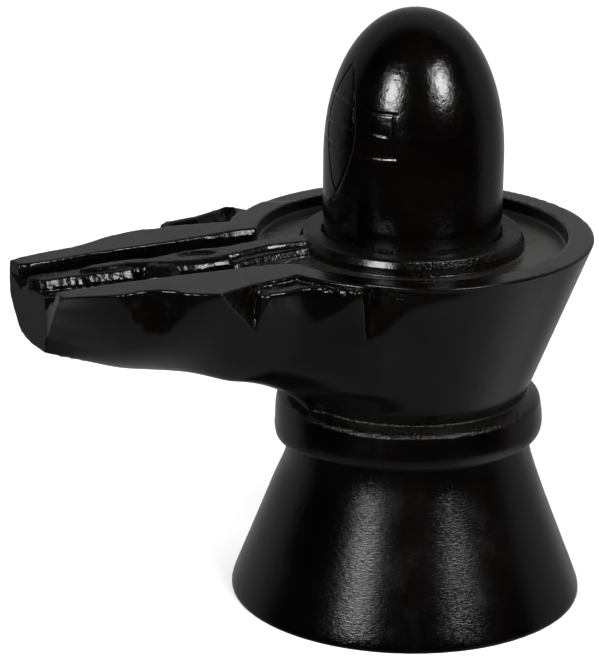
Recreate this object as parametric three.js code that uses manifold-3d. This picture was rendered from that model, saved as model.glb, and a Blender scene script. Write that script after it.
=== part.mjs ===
// Shiva linga on its yoni pedestal, carved black stone.
// Millimetres. +Z is up, +X runs out along the spout, and the origin is the
// centre of the foot's underside.

import * as THREE from "three";
import { mergeVertices } from "three/addons/utils/BufferGeometryUtils.js";
import Module from "manifold-3d";

const wasm = await Module();
wasm.setup();

// ---------------------------------------------------------------- dimensions

const ROUND_SEGMENTS = 60; // facets around every turned surface
const GAP = 0.3; // clearance between the lingam and its socket

const FOOT_RADIUS = 67.6;
const WAIST_RADIUS = 46.5;
const WAIST_Z = 63.5;
const COLLAR_RADIUS = 50.8;
const COLLAR_BOTTOM_Z = 68;
const COLLAR_TOP_Z = 79.8;
const BASIN_BOTTOM_RADIUS = 45;
const BASIN_BOTTOM_Z = 82.2;

const RIM_RADIUS = 69;
const RIM_Z = 143.6;
const RIM_INNER_RADIUS = 58.9;
const RING_FLOOR_Z = 138.8;
const DISC_RADIUS = 41;
const DISC_Z = 145.1;

const LINGAM_RADIUS = 33.9;
const LINGAM_FOOT_RADIUS = 33.4;
const LINGAM_SHOULDER_Z = 173.5; // the dome starts here
const LINGAM_TOP_Z = 230;
const DOME_POWER = 2.11; // exponent of the dome's superellipse
const SOCKET_Z = 140.5;

const SPOUT_END = 148.5; // middle of the spout's end face
const END_SKEW = 0.09; // the far corner of the end reaches further than the near one
const SPOUT_DROP = 0.022; // fall of the arms' top, per mm of length
const SPOUT_DROP_START = 62;
const KEEL_Z = 91.5; // underside of the spout at KEEL_X
const KEEL_X = 62.5;
const KEEL_RISE = 0.28;
const KEEL_SHARE = 0.12; // width of the keel strip as a share of the width on top
const NEAR_ROOT = 40; // where the hull leaves the basin on the +Y side
const FAR_ROOT = 51; // and on the -Y side

const CHANNEL_FLOOR_Z = 135.4;
const STRAND_RADIUS = 3.7;
const STRAND_DROP = 0.046; // fall of the serpents' backs, per mm of length

const MARK_TURN = 7; // degrees from the spout's line to the middle of the mark
const MARK_HALF_WIDTH = 45; // degrees
const EYE_HALF_WIDTH = 17; // degrees
const EYE_BOTTOM_Z = 164.5;
const EYE_WIDEST_Z = 193;
const EYE_TOP_Z = 214;
const BAND_Z = [201.5, 189.7, 181.2];
const GROOVE_RADIUS = 0.75;

// ---------------------------------------------------------------- helpers

const radians = THREE.MathUtils.degToRad;
const v2 = (x, y) => new THREE.Vector2(x, y);
const v3 = (x, y, z) => new THREE.Vector3(x, y, z);

// A closed geometry as a solid, with shared vertices merged and slivers dropped.
function solidOf(geometry) {
  const bare = geometry.clone();
  bare.deleteAttribute("normal");
  bare.deleteAttribute("uv");
  const merged = mergeVertices(bare, 1e-4);
  const index = merged.index.array;
  const kept = [];
  for (let i = 0; i < index.length; i += 3) {
    const [a, b, c] = index.slice(i, i + 3);
    if (a !== b && b !== c && c !== a) kept.push(a, b, c);
  }
  return new wasm.Manifold(
    new wasm.Mesh({
      numProp: 3,
      vertProperties: merged.attributes.position.array,
      triVerts: new Uint32Array(kept),
    }),
  );
}

function meshOf(solid, name, material) {
  const made = solid.getMesh();
  const geometry = new THREE.BufferGeometry();
  geometry.setAttribute("position", new THREE.BufferAttribute(made.vertProperties, 3));
  geometry.setIndex(new THREE.BufferAttribute(made.triVerts, 1));
  geometry.computeVertexNormals();
  const mesh = new THREE.Mesh(geometry, material);
  mesh.name = name;
  return mesh;
}

// A solid turned about Z. The profile climbs from the axis back to the axis.
function turned(profile) {
  const geometry = new THREE.LatheGeometry(profile, ROUND_SEGMENTS);
  geometry.rotateX(Math.PI / 2);
  return solidOf(geometry);
}

// Points of a smooth curve through a few radius-height pairs.
function smoothProfile(pairs, steps) {
  const curve = new THREE.SplineCurve(pairs.map(([r, z]) => v2(r, z)));
  return curve.getPoints(steps);
}

// A flat outline extruded upward from z = low to z = high.
function prism(outline, low, high) {
  const shape = new THREE.Shape(outline.map(([x, y]) => v2(x, y)));
  const geometry = new THREE.ExtrudeGeometry(shape, {
    depth: high - low,
    bevelEnabled: false,
  });
  geometry.translate(0, 0, low);
  return solidOf(geometry);
}

// An egg-shaped cutter with its own radii, turned about Z by an angle in degrees.
function egg(centre, radii, turn = 0) {
  const geometry = new THREE.SphereGeometry(1, 20, 12);
  geometry.scale(...radii);
  geometry.rotateZ(radians(turn));
  geometry.translate(...centre);
  return solidOf(geometry);
}

// A slab cutter whose inner face stands at a distance from the axis, faces an
// azimuth in degrees and leans out by an angle in degrees. The outline is in
// (along the rim, up the slope), measured from that face's middle at height z.
function facet(outline, depth, azimuth, lean, distance, z) {
  const shape = new THREE.Shape(outline.map(([u, v]) => v2(u, v)));
  const geometry = new THREE.ExtrudeGeometry(shape, { depth, bevelEnabled: false });
  const out = v3(Math.cos(radians(azimuth)), Math.sin(radians(azimuth)), 0);
  const along = v3(-out.y, out.x, 0);
  const up = out.clone().multiplyScalar(Math.sin(radians(lean)));
  up.z = Math.cos(radians(lean));
  const normal = along.clone().cross(up);
  const place = new THREE.Matrix4().makeBasis(along, up, normal);
  place.setPosition(out.multiplyScalar(distance).setZ(z));
  geometry.applyMatrix4(place);
  return solidOf(geometry);
}

// A rod of the given radius and side count along a curve.
function rod(curve, radius, sides, steps) {
  const ring = [];
  for (let i = 0; i < sides; i++) {
    const a = (2 * Math.PI * i) / sides;
    ring.push(v2(radius * Math.cos(a), radius * Math.sin(a)));
  }
  const geometry = new THREE.ExtrudeGeometry(new THREE.Shape(ring), {
    steps,
    extrudePath: curve,
    bevelEnabled: false,
  });
  return solidOf(geometry);
}

const mirrored = (points) => points.map(([x, y]) => [x, -y]).reverse();

// ---------------------------------------------------------------- turned block

function turnedBlock() {
  const foot = smoothProfile(
    [
      [FOOT_RADIUS, 0],
      [FOOT_RADIUS - 0.7, 4],
      [60.9, 19.6],
      [53.4, 39.1],
      [48.4, 53.5],
      [WAIST_RADIUS, WAIST_Z],
    ],
    9,
  );
  return turned([
    v2(0, 0),
    ...foot,
    v2(COLLAR_RADIUS - 1.2, COLLAR_BOTTOM_Z - 1),
    v2(COLLAR_RADIUS, COLLAR_BOTTOM_Z + 0.6),
    v2(COLLAR_RADIUS, COLLAR_TOP_Z - 0.8),
    v2(COLLAR_RADIUS - 1, COLLAR_TOP_Z + 0.4),
    v2(BASIN_BOTTOM_RADIUS + 2, COLLAR_TOP_Z + 1.6),
    v2(BASIN_BOTTOM_RADIUS, BASIN_BOTTOM_Z),
    v2(RIM_RADIUS, RIM_Z - 0.8),
    v2(RIM_RADIUS - 0.8, RIM_Z),
    v2(0, RIM_Z),
  ]);
}

// ---------------------------------------------------------------- spout

const armTop = (x) => RIM_Z - SPOUT_DROP * Math.max(0, x - SPOUT_DROP_START);
const keel = (x) => KEEL_Z + KEEL_RISE * (x - KEEL_X);

// Half of the spout's plan from the body out to the tip, before the carving.
const HULL_SIDE = [
  [58, 54],
  [70, 50.6],
  [80, 48.5],
  [90, 45.6],
  [100, 41.6],
  [115, 34.6],
  [130, 29],
  [141, 26.2],
  [SPOUT_END, 24],
];

// The hull: wide on top, narrowing to a keel that rises towards the tip.
function hull() {
  const near = [[18, 28], [NEAR_ROOT, 28], [NEAR_ROOT, 56.5], [49, 54.6], ...HULL_SIDE];
  const far = [[18, 28], [FAR_ROOT, 28], [FAR_ROOT, 54.5], ...HULL_SIDE];
  const outline = [...mirrored(far).reverse(), ...near.reverse()];
  const shape = new THREE.Shape(outline.map(([x, y]) => v2(x, y)));
  const geometry = new THREE.ExtrudeGeometry(shape, {
    depth: 1,
    steps: 8,
    bevelEnabled: false,
  });
  const at = geometry.attributes.position;
  for (let i = 0; i < at.count; i++) {
    const share = at.getZ(i); // 0 at the keel, 1 on top
    const width = Math.max(KEEL_SHARE, Math.sin((Math.PI / 2) * share ** 0.75));
    const y = at.getY(i) * width;
    const skew = at.getX(i) > 140 ? -END_SKEW * y : 0;
    const x = at.getX(i) + skew;
    at.setXYZ(i, x, y, THREE.MathUtils.lerp(keel(x), armTop(x), share));
  }
  return solidOf(geometry);
}

// The channel between the arms, open at the basin and at the tip.
function channel() {
  const side = [
    [40, 30],
    [50, 27],
    [58, 24],
    [70, 21.5],
    [84, 19.8],
    [105, 18.2],
    [130, 17.6],
    [144, 15.5],
    [SPOUT_END + 8, 12],
  ];
  const outline = [...mirrored(side).reverse(), ...side.reverse()];
  return prism(outline, CHANNEL_FLOOR_Z, RIM_Z + 9);
}

// A V-shaped outlet down the spout's end face.
function outlet() {
  const notch = [[SPOUT_END - 3.5, 2], [SPOUT_END + 9, -26], [SPOUT_END + 9, 17]];
  return prism(notch, KEEL_Z, RIM_Z + 9);
}

// ---------------------------------------------------------------- side carving

// The long slot that parts an arm from the leaf-shaped lobe beside it.
const LOBE_SLOT = [
  [82, 40],
  [82, 44.6],
  [71, 45.6],
  [61, 42.4],
  [57.2, 37.8],
  [69, 38.6],
];
const LOBE_SLOT_DEPTH = 3.6;

// The cuts on one side of the spout and basin. side is 1 or -1.
function sideCuts(side) {
  const flip = (outline) => (side > 0 ? outline : mirrored(outline));
  const slot = prism(flip(LOBE_SLOT), RIM_Z - LOBE_SLOT_DEPTH, RIM_Z + 4);

  // The notch in front of the lobe, deepest at the lobe's upright face.
  const notch = new THREE.Shape([v2(99, 150), v2(80, 150), v2(80, 125), v2(98, 143)]);
  const notchGeometry = new THREE.ExtrudeGeometry(notch, {
    depth: 20,
    bevelEnabled: false,
  });
  notchGeometry.rotateX(Math.PI / 2);
  notchGeometry.translate(0, side > 0 ? 60.5 : -40.5, 0);

  const scallop = egg([112, side * 45.5, 143], [19, 14.2, 22]);
  const underLobe = egg([54, side * 63, 133], [15, 14, 12], side * 42);

  // A flat facet under the rim. It starts at an upright step beside the lobe
  // and runs out along the basin, leaving the rim's edge whole above it.
  const start = side > 0 ? -3 : -28;
  const end = start + 31;
  const underRim = [[start, -24], [end, -24], [end, -1.8], [start, -1.8]];
  const basinFacet = facet(underRim, 20, side * 55, 10, 64.2, RIM_Z);
  return [slot, solidOf(notchGeometry), scallop, underLobe, basinFacet];
}

// ---------------------------------------------------------------- serpents

// The middle lines of the two serpents in plan. They leave the disc, cross
// twice and join at the tip.
const FAR_SERPENT = [
  [36, -3],
  [45, -4.5],
  [57, -7],
  [70, -6],
  [80, -1],
  [90, 0.5],
  [98, -2.5],
  [107, -8.5],
  [118, -11.5],
  [132, -11.5],
  [147, -9],
];
const NEAR_SERPENT = [
  [34, 10],
  [45, 9],
  [57, 9],
  [68, 9.5],
  [75, 7],
  [82, -2],
  [89, -8],
  [96, -6.5],
  [103, 1],
  [111, 5],
  [122, 2.5],
  [134, -3],
  [147, -7],
];

function serpent(plan) {
  const backZ = (x) => DISC_Z - 0.6 - STRAND_DROP * (x - DISC_RADIUS);
  const points = plan.map(([x, y]) => v3(x, y, backZ(x) - STRAND_RADIUS));
  return rod(new THREE.CatmullRomCurve3(points), STRAND_RADIUS, 8, 30);
}

// ---------------------------------------------------------------- base

function yoniBase() {
  const ring = turned([
    v2(0, RING_FLOOR_Z),
    v2(RIM_INNER_RADIUS - 1.2, RING_FLOOR_Z),
    v2(RIM_INNER_RADIUS, RING_FLOOR_Z + 1.2),
    v2(RIM_INNER_RADIUS, RIM_Z + 9),
    v2(0, RIM_Z + 9),
  ]);
  const disc = turned([
    v2(0, RING_FLOOR_Z - 8),
    v2(DISC_RADIUS, RING_FLOOR_Z - 8),
    v2(DISC_RADIUS, DISC_Z - 0.8),
    v2(DISC_RADIUS - 0.8, DISC_Z),
    v2(0, DISC_Z),
  ]);
  const socket = turned([
    v2(0, SOCKET_Z),
    v2(LINGAM_FOOT_RADIUS + GAP, SOCKET_Z),
    v2(LINGAM_FOOT_RADIUS + GAP, DISC_Z + 5),
    v2(0, DISC_Z + 5),
  ]);

  let block = turnedBlock().add(hull());
  block = block.subtract(ring).subtract(channel()).subtract(outlet());
  for (const side of [1, -1]) {
    for (const cut of sideCuts(side)) block = block.subtract(cut);
  }
  block = block.add(serpent(FAR_SERPENT)).add(serpent(NEAR_SERPENT));
  return block.add(disc).subtract(socket);
}

// ---------------------------------------------------------------- lingam

// Radius of the lingam above the shoulder: a superellipse in section.
function lingamRadius(z) {
  if (z <= LINGAM_SHOULDER_Z) return LINGAM_RADIUS;
  const share = (z - LINGAM_SHOULDER_Z) / (LINGAM_TOP_Z - LINGAM_SHOULDER_Z);
  return LINGAM_RADIUS * Math.max(0, 1 - share ** DOME_POWER) ** (1 / DOME_POWER);
}

const onLingam = (degrees, z) => {
  const angle = radians(MARK_TURN + degrees);
  const r = lingamRadius(z);
  return v3(r * Math.cos(angle), r * Math.sin(angle), z);
};

// One side of the pointed eye, from its foot to its top.
function eyeCurve(side) {
  const points = [];
  for (let i = 0; i <= 12; i++) {
    const z = THREE.MathUtils.lerp(EYE_BOTTOM_Z, EYE_TOP_Z, i / 12);
    const below = (EYE_WIDEST_Z - z) / (EYE_WIDEST_Z - EYE_BOTTOM_Z);
    const above = (z - EYE_WIDEST_Z) / (EYE_TOP_Z - EYE_WIDEST_Z);
    const share = z < EYE_WIDEST_Z ? below ** 1.8 : above ** 2.6;
    points.push(onLingam(side * EYE_HALF_WIDTH * (1 - share), z));
  }
  return new THREE.CatmullRomCurve3(points);
}

// One of the three ash bands' lines, or the short upright that ends them.
function bandCurve(z) {
  const points = [];
  for (let i = 0; i <= 12; i++) {
    points.push(onLingam(MARK_HALF_WIDTH * (i / 6 - 1), z));
  }
  return new THREE.CatmullRomCurve3(points);
}

function endCurve(side) {
  const [top, middle, bottom] = BAND_Z;
  const points = [top, middle, bottom].map((z) => onLingam(side * MARK_HALF_WIDTH, z));
  return new THREE.CatmullRomCurve3(points);
}

function lingam() {
  const profile = [
    v2(0, SOCKET_Z + GAP),
    v2(LINGAM_FOOT_RADIUS - 0.6, SOCKET_Z + GAP),
    v2(LINGAM_FOOT_RADIUS, SOCKET_Z + GAP + 0.6),
    v2(LINGAM_FOOT_RADIUS, DISC_Z + 1),
    v2(LINGAM_RADIUS, DISC_Z + 8),
    v2(LINGAM_RADIUS, LINGAM_SHOULDER_Z),
  ];
  const steps = 12;
  for (let i = 1; i < steps; i++) {
    const angle = (Math.PI / 2) * (i / steps);
    const share = Math.sin(angle) ** (2 / DOME_POWER);
    const z = THREE.MathUtils.lerp(LINGAM_SHOULDER_Z, LINGAM_TOP_Z, share);
    profile.push(v2(lingamRadius(z), z));
  }
  profile.push(v2(0, LINGAM_TOP_Z));

  let stone = turned(profile);
  const curves = [eyeCurve(1), eyeCurve(-1), endCurve(1), endCurve(-1)];
  curves.push(...BAND_Z.map(bandCurve));
  for (const curve of curves) {
    stone = stone.subtract(rod(curve, GROOVE_RADIUS, 4, 12));
  }
  return stone;
}

// ---------------------------------------------------------------- assembly

const baseStone = new THREE.MeshStandardMaterial({
  color: 0x14110f,
  roughness: 0.34,
  metalness: 0,
});
const lingamStone = new THREE.MeshStandardMaterial({
  color: 0x100e0d,
  roughness: 0.28,
  metalness: 0,
});

const group = new THREE.Group();
group.add(meshOf(yoniBase(), "yoni_base", baseStone));
group.add(meshOf(lingam(), "lingam", lingamStone));

export default group;
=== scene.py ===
"""Shiva linga on its yoni pedestal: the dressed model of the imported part.

Lengths are millimetres in the part's frame until a mesh is made, which is in
metres. +Z is up, +X runs out along the spout and +Y is the side that the
camera sees. An azimuth is in degrees from +X towards +Y.
"""

import math

import bpy
import numpy as np
from mathutils import Matrix, Vector


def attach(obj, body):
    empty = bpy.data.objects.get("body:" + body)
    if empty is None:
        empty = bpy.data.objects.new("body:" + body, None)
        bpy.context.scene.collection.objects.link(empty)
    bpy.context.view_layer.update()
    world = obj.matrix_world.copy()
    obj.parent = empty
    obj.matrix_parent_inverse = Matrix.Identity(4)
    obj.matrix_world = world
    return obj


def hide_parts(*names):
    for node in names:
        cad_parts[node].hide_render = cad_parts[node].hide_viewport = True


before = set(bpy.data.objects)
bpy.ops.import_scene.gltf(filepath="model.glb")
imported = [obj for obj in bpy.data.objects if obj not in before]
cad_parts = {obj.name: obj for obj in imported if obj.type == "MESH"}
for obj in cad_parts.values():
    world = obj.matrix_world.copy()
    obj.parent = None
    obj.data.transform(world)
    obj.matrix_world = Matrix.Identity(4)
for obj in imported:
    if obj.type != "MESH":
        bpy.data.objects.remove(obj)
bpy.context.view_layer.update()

MM = 0.001

# ------------------------------------------------------------- dimensions

FOOT_RADIUS = 67.6
WAIST_RADIUS = 46.2
WAIST_Z = 65.2
COLLAR_RADIUS = 50.8
COLLAR_BOTTOM_Z = 66.2
COLLAR_TOP_Z = 79.8
COLLAR_RISE = 1.2  # how much higher the collar's top stands on the far side of the spout
COLLAR_FALL = 3.3  # and how much lower its bottom reaches there
BASIN_BOTTOM_RADIUS = 45.0
BASIN_BOTTOM_Z = 82.2
CORNER_REACH = 1.4  # how far each turned corner's rounding starts from it

RIM_RADIUS = 69.0
RIM_Z = 143.6
RIM_INNER_RADIUS = 58.9
RING_FLOOR_Z = 138.8
DISC_RADIUS = 41.0
DISC_Z = 145.1
DISC_LEAN = 0.45  # how far the disc's wall comes out for each millimetre down
DISC_UPRIGHT = 0.24  # how much less it comes out where it is worn, on the camera's side

LINGAM_RADIUS = 33.9
LINGAM_FOOT_RADIUS = 33.4
LINGAM_SHOULDER_Z = 173.5
LINGAM_TOP_Z = 230.0
DOME_POWER = 2.11
SOCKET_Z = 140.5
SOCKET_GAP = 0.3

SPOUT_ROOT_X = 10.0
SPOUT_ROOT_Z = 74.0
SPOUT_DROP = 0.011
SPOUT_DROP_START = 62.0
EDGE_BOTTOM_Z = 112.0  # the sides are cut to the level top's outline down to here
CHANNEL_BOTTOM_Z = 116.0  # the channel, its outlet and the spout's chisel marks stay above this
CHANNEL_START_X = 40.0
CHANNEL_FLOOR_Z = 135.4
OUTLET_FLOOR_Z = 130.9
OUTLET_TOP_Z = 138.0
NOTCH_X, NOTCH_Y, NOTCH_Z = 147.5, -16.8, 134.6
HOLLOW_X, HOLLOW_Y, HOLLOW_FLOOR_Z = 84.5, -7.2, 141.6
LEDGE_Z = 141.5
EDGE_LEAN = 0.05  # how far the carved sides come out for each millimetre down
FACET_SLANT = 0.47  # and how far the slanted facets do that catch the light
RIM_DENT = 2.6  # how far the rim is cut back beside the near arm
CUT_START = 50.9  # azimuth of the upright step where the gouge under the rim starts
CUT_ROOF_Z = 142.2
CHAMFER_RISE = 0.75  # rise for each millimetre out of the chamfers under the spout
HULL_FULLNESS = 0.68  # power that rounds the spout's section, fuller as it is smaller

# The uncarved spout in rows of x, half width on the near side and half width on the far side.
HULL_ROWS = [
    (10, 56, 52), (30, 57, 54), (36, 57.3, 56.4), (42, 57, 58.2), (47, 55.8, 59), (51.6, 53.2, 58.6),
    (55.7, 50.2, 57.8), (60, 47.6, 56.5), (64, 46.2, 54.5), (70, 46, 51.5), (78, 46.2, 49.4),
    (85, 44.4, 47.4), (90, 43.6, 45.6), (96, 42.8, 42.6), (103, 40.2, 40), (108, 37.8, 38.6),
    (115, 34.6, 35.4), (120, 32.4, 33.2), (124, 31.2, 32), (129, 30.2, 31), (138, 28.6, 29.6),
    (144, 27.6, 28.4), (160, 25.4, 26),
]
# The middle of its underside, in rows of x and height.
KEEL_ROWS = [
    (10, 74), (30, 76), (44, 80.5), (47, 84), (50, 87.2), (53, 89.6), (56.5, 91.4), (60, 93),
    (65, 95.6), (70, 97.8), (76, 99.4), (82.6, 100.2), (90, 100.8), (99.6, 101.8), (108, 103),
    (118.4, 104.9), (127.6, 107.7), (136.9, 110.8), (141.4, 112.3), (146, 113.8), (150, 114.8),
    (160, 117),
]
# The bend between each flank and the underside, in rows of x, half width and height.
BEND_ROWS = [
    (10, 46, 87), (26.3, 40.5, 91.4), (34.3, 40, 95.8), (43.5, 38, 100.3), (52.7, 36, 103.5),
    (63.4, 33, 105.1), (72.9, 31.5, 106.6), (84, 30, 108.6), (98, 27.5, 111), (118, 22, 114),
    (160, 16, 122),
]
# The tip's section, in rows of its share of the depth from the underside up, and of the
# share of the half width on the far side and on the near side.
TIP = np.array([
    (0, 0.34, 0), (0.04, 0.55, 0.01), (0.086, 0.65, 0.02), (0.145, 0.72, 0.04), (0.21, 0.76, 0.06),
    (0.28, 0.8, 0.12), (0.345, 0.85, 0.18), (0.42, 0.885, 0.25), (0.486, 0.92, 0.32),
    (0.56, 0.95, 0.41), (0.64, 0.97, 0.5), (0.79, 1, 0.66), (1, 0.97, 0.94),
])
# Where the spout ends, in rows of y and x: a shallow hollow between two prongs.
END = np.array([
    (-30, 151.6), (-26, 151.4), (1.8, 145.9), (22, 148), (30, 147.2),
])

# The edge of the level top in plan, along each side from the rim to the tip.
NEAR_EDGE = [
    (24, 59.5), (33.6, 56), (40.8, 50.1), (44.9, 46.8), (48.5, 44), (51.6, 41.5), (53.6, 38.4),
    (55, 34.6), (55.9, 30.6), (58.2, 31.6), (60.8, 32.9), (65.2, 34.5), (71, 35.6), (76.9, 36.5),
    (79.8, 37.3), (82.6, 38.4), (86.2, 39.7), (91.4, 41.7), (94.1, 42.9), (97.4, 41.4), (101.4, 39.3),
    (105, 37), (108.2, 33.3), (111.2, 30.8), (114.6, 29.5), (118.3, 28.8), (121.5, 28.9), (125.7, 29.7),
    (128.5, 29.3), (134.9, 28.6), (138.3, 27.8), (143.7, 27.2), (147.2, 27.3), (156, 27),
]
FAR_EDGE = [
    (156, -24), (151.1, -24.8), (145.6, -27.2), (140.4, -28.9), (135.5, -29.5), (130.6, -30.1),
    (125.7, -30.7), (120.4, -32.4), (114.7, -35.3), (108.4, -39.3), (103.4, -40.2), (98.4, -40.9),
    (93.3, -41.3), (88.7, -40.7), (85.2, -40.6), (84.8, -44.6), (81.4, -47.3), (76.3, -47.9),
    (71.1, -48.6), (65.5, -50.4), (59.3, -53.6), (53.5, -56.6), (50.4, -55), (46, -48), (20, -45),
]
# The leaf and ledge beside the near arm, and the slot in the far leaf, in plan.
NEAR_LEAF = [
    (30, 20), (77.6, 20), (78.4, 36.6), (78.9, 37.8), (78.2, 41.6), (76, 43.6), (73.2, 44.3),
    (69.5, 44.2), (66, 43.2), (62.6, 42.2), (59.8, 42), (57.4, 42.8), (53.8, 45.7), (49.5, 50.4),
    (46.8, 53.6), (44.6, 54.6), (40, 50),
]
FAR_SLOT = [
    (86.5, -41.6), (76, -40.2), (66, -38.6), (58.9, -37.6), (55.9, -42.5), (50.9, -48.9), (50.8, -53.6),
    (55.4, -55.2), (60.5, -51), (69.6, -46.8), (81.1, -44.6),
]
# The lower edge of the gouge under the rim, in rows of azimuth and height.
CUT_EDGE = np.array([
    (50, 121.8), (53.4, 123.1), (55.9, 124.2), (58.3, 126.2), (61.7, 129.9), (65.5, 134), (69.5, 135.8),
    (74.1, 137.4), (78.1, 138.5), (83.3, 140.6), (86, 142.1), (91, 143),
])

# The channel's two walls, in rows of x and distance from the spout's middle line.
CHANNEL_NEAR = np.array([
    (38, 31), (47.3, 29.8), (50.6, 27.2), (52.5, 24.2), (54.4, 21.2), (58, 19.4), (65.4, 17.7),
    (72.5, 17.2), (80, 17.2), (87, 16.8), (107, 16.2), (116, 16.4), (127, 16.4), (139.7, 17),
    (148.2, 17.8), (160, 19),
])
CHANNEL_FAR = np.array([
    (38, 30), (46.3, 34), (49.6, 29), (52.2, 26), (56.3, 26.2), (62.2, 26.2), (70.2, 25), (79, 24),
    (88.3, 23.1), (97, 22.4), (111.2, 21.6), (120, 20.8), (129, 19.6), (138.8, 18.2), (145.4, 18),
    (150, 18.6), (160, 19),
])
# How deep the slanted top of the channel's far wall reaches, in rows of x and depth.
FAR_SLANT = np.array([
    (52, 1.4), (57, 2.3), (64, 2), (72, 1.4), (80, 0.8), (90, 0.5), (140, 0.4), (147, 1.2), (150, 1.8),
])

# ------------------------------------------------------------- field tools
#
# A field is below zero inside a shape or a cut and grows by about one for each
# millimetre outwards, so a slanting wall's share of it is scaled down.

PROBE = 0.2  # half the span that slopes are measured over


def smooth_max(a, b, k):
    """The larger of two fields, with a fillet or round about k wide where they meet."""
    h = np.maximum(k - np.abs(a - b), 0.0) / k
    return np.maximum(a, b) + h * h * k * 0.25


def smooth_min(a, b, k):
    return -smooth_max(-a, -b, k)


def smooth_step(value, low, high):
    t = np.clip((value - low) / (high - low), 0, 1)
    return t * t * (3 - 2 * t)


def between(value, low, high):
    return (value > low) & (value < high)


def table(x, rows, column=1):
    """A column of a table, read between its rows by its first column."""
    return np.interp(x, rows[:, 0], rows[:, column])


def azimuth_of(x, y):
    return np.degrees(np.arctan2(y, x))


def spline(points, steps):
    """A Catmull-Rom curve through the points, as an array of steps + 1 points."""
    p = np.asarray(points, float)
    p = np.vstack([2 * p[0] - p[1], p, 2 * p[-1] - p[-2]])
    t = np.linspace(0, len(p) - 3 - 1e-9, steps + 1)
    i = t.astype(int)
    u = (t - i)[:, None]
    a, b, c, d = p[i], p[i + 1], p[i + 2], p[i + 3]
    square = (2 * a - 5 * b + 4 * c - d) * u**2
    cube = (3 * b - a - 3 * c + d) * u**3
    return 0.5 * (2 * b + (c - a) * u + square + cube)


def rounded(points, reach, steps=5):
    """A polyline with each corner replaced by a curve that starts reach away from it."""
    p = np.asarray(points, float)
    out = [p[0]]
    for a, b, c in zip(p[:-2], p[1:-1], p[2:]):
        ends = [b + (q - b) * min(0.5, reach / np.linalg.norm(q - b)) for q in (a, c)]
        for t in np.linspace(0, 1, steps):
            out.append((1 - t) ** 2 * ends[0] + 2 * t * (1 - t) * b + t**2 * ends[1])
    return np.array(out + [p[-1]])


def noise(x, y, z, seed):
    """Smooth value noise between -1 and 1, with features about one unit across."""
    xi, yi, zi = (np.floor(v).astype(np.int64) for v in (x, y, z))
    u, v, w = (t * t * (3 - 2 * t) for t in (x - xi, y - yi, z - zi))

    def lattice(dx, dy, dz):
        """A random value for each corner of the unit lattice, by hashing its place."""
        h = ((xi + dx) * 73856093) ^ ((yi + dy) * 19349663) ^ ((zi + dz) * 83492791)
        h = h ^ (seed * 2654435761)
        h = (h ^ (h >> 13)) * 1274126177
        h = h ^ (h >> 16)
        return (h & 0xFFFF) / 32767.5 - 1.0

    def layer(dz):
        front = (1 - u) * lattice(0, 0, dz) + u * lattice(1, 0, dz)
        back = (1 - u) * lattice(0, 1, dz) + u * lattice(1, 1, dz)
        return (1 - v) * front + v * back

    return (1 - w) * layer(0) + w * layer(1)


def polygon_distance(x, y, corners):
    """Signed distance in plan to a polygon's edge, below zero inside it."""
    best = np.full(x.shape, 1e9)
    inside = np.zeros(x.shape, bool)
    for (ax, ay), (bx, by) in zip(corners, corners[1:] + corners[:1]):
        ux, uy = bx - ax, by - ay
        t = np.clip(((x - ax) * ux + (y - ay) * uy) / (ux * ux + uy * uy), 0, 1)
        best = np.minimum(best, (x - ax - t * ux) ** 2 + (y - ay - t * uy) ** 2)
        spans = (ay > y) != (by > y)
        if uy:
            inside ^= spans & (x < ax + (y - ay) * ux / uy)
    best = np.sqrt(best)
    return np.where(inside, -best, best)


# ------------------------------------------------------------- the base's form

# The turned outline, in rows of height and radius: the foot's curve up to the
# waist, then the collar's band and the basin, with their corners rounded.
FOOT_CURVE = spline(
    [
        (0, FOOT_RADIUS), (4, FOOT_RADIUS - 0.7), (19.6, 60.9), (39.1, 53.4), (53.5, 48.4),
        (60, WAIST_RADIUS + 0.6), (WAIST_Z, WAIST_RADIUS),
    ],
    40,
)
COLLAR_AND_BASIN = [
    FOOT_CURVE[-2],
    (WAIST_Z, WAIST_RADIUS),
    (COLLAR_BOTTOM_Z, COLLAR_RADIUS - 0.1),
    (COLLAR_BOTTOM_Z + 3.6, COLLAR_RADIUS + 0.7),
    (COLLAR_BOTTOM_Z + 8.0, COLLAR_RADIUS + 0.4),
    (COLLAR_TOP_Z, COLLAR_RADIUS - 0.6),
    (COLLAR_TOP_Z + 1.6, BASIN_BOTTOM_RADIUS + 2),
    (BASIN_BOTTOM_Z, BASIN_BOTTOM_RADIUS),
    (RIM_Z, RIM_RADIUS),
]
TURNED = np.vstack([FOOT_CURVE[:-2], rounded(COLLAR_AND_BASIN, CORNER_REACH), (RIM_Z + 20, RIM_RADIUS)])
HULL = spline(HULL_ROWS, 200)
KEEL = spline(KEEL_ROWS, 200)
BEND = spline(BEND_ROWS, 200)
TOP_OUTLINE = [tuple(p) for p in spline(NEAR_EDGE, 110)] + FAR_EDGE


def turned_body(r, z):
    """The foot, collar and basin as turned, level at the rim and under the foot."""
    slope = (table(z + PROBE, TURNED) - table(z - PROBE, TURNED)) / (2 * PROBE)
    side = (r - table(z, TURNED)) / np.sqrt(1 + slope**2)
    return smooth_max(smooth_max(side, z - RIM_Z, 1.2), -z, 0.8)


def arm_top(x):
    return RIM_Z - SPOUT_DROP * np.maximum(0, x - SPOUT_DROP_START)


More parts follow.
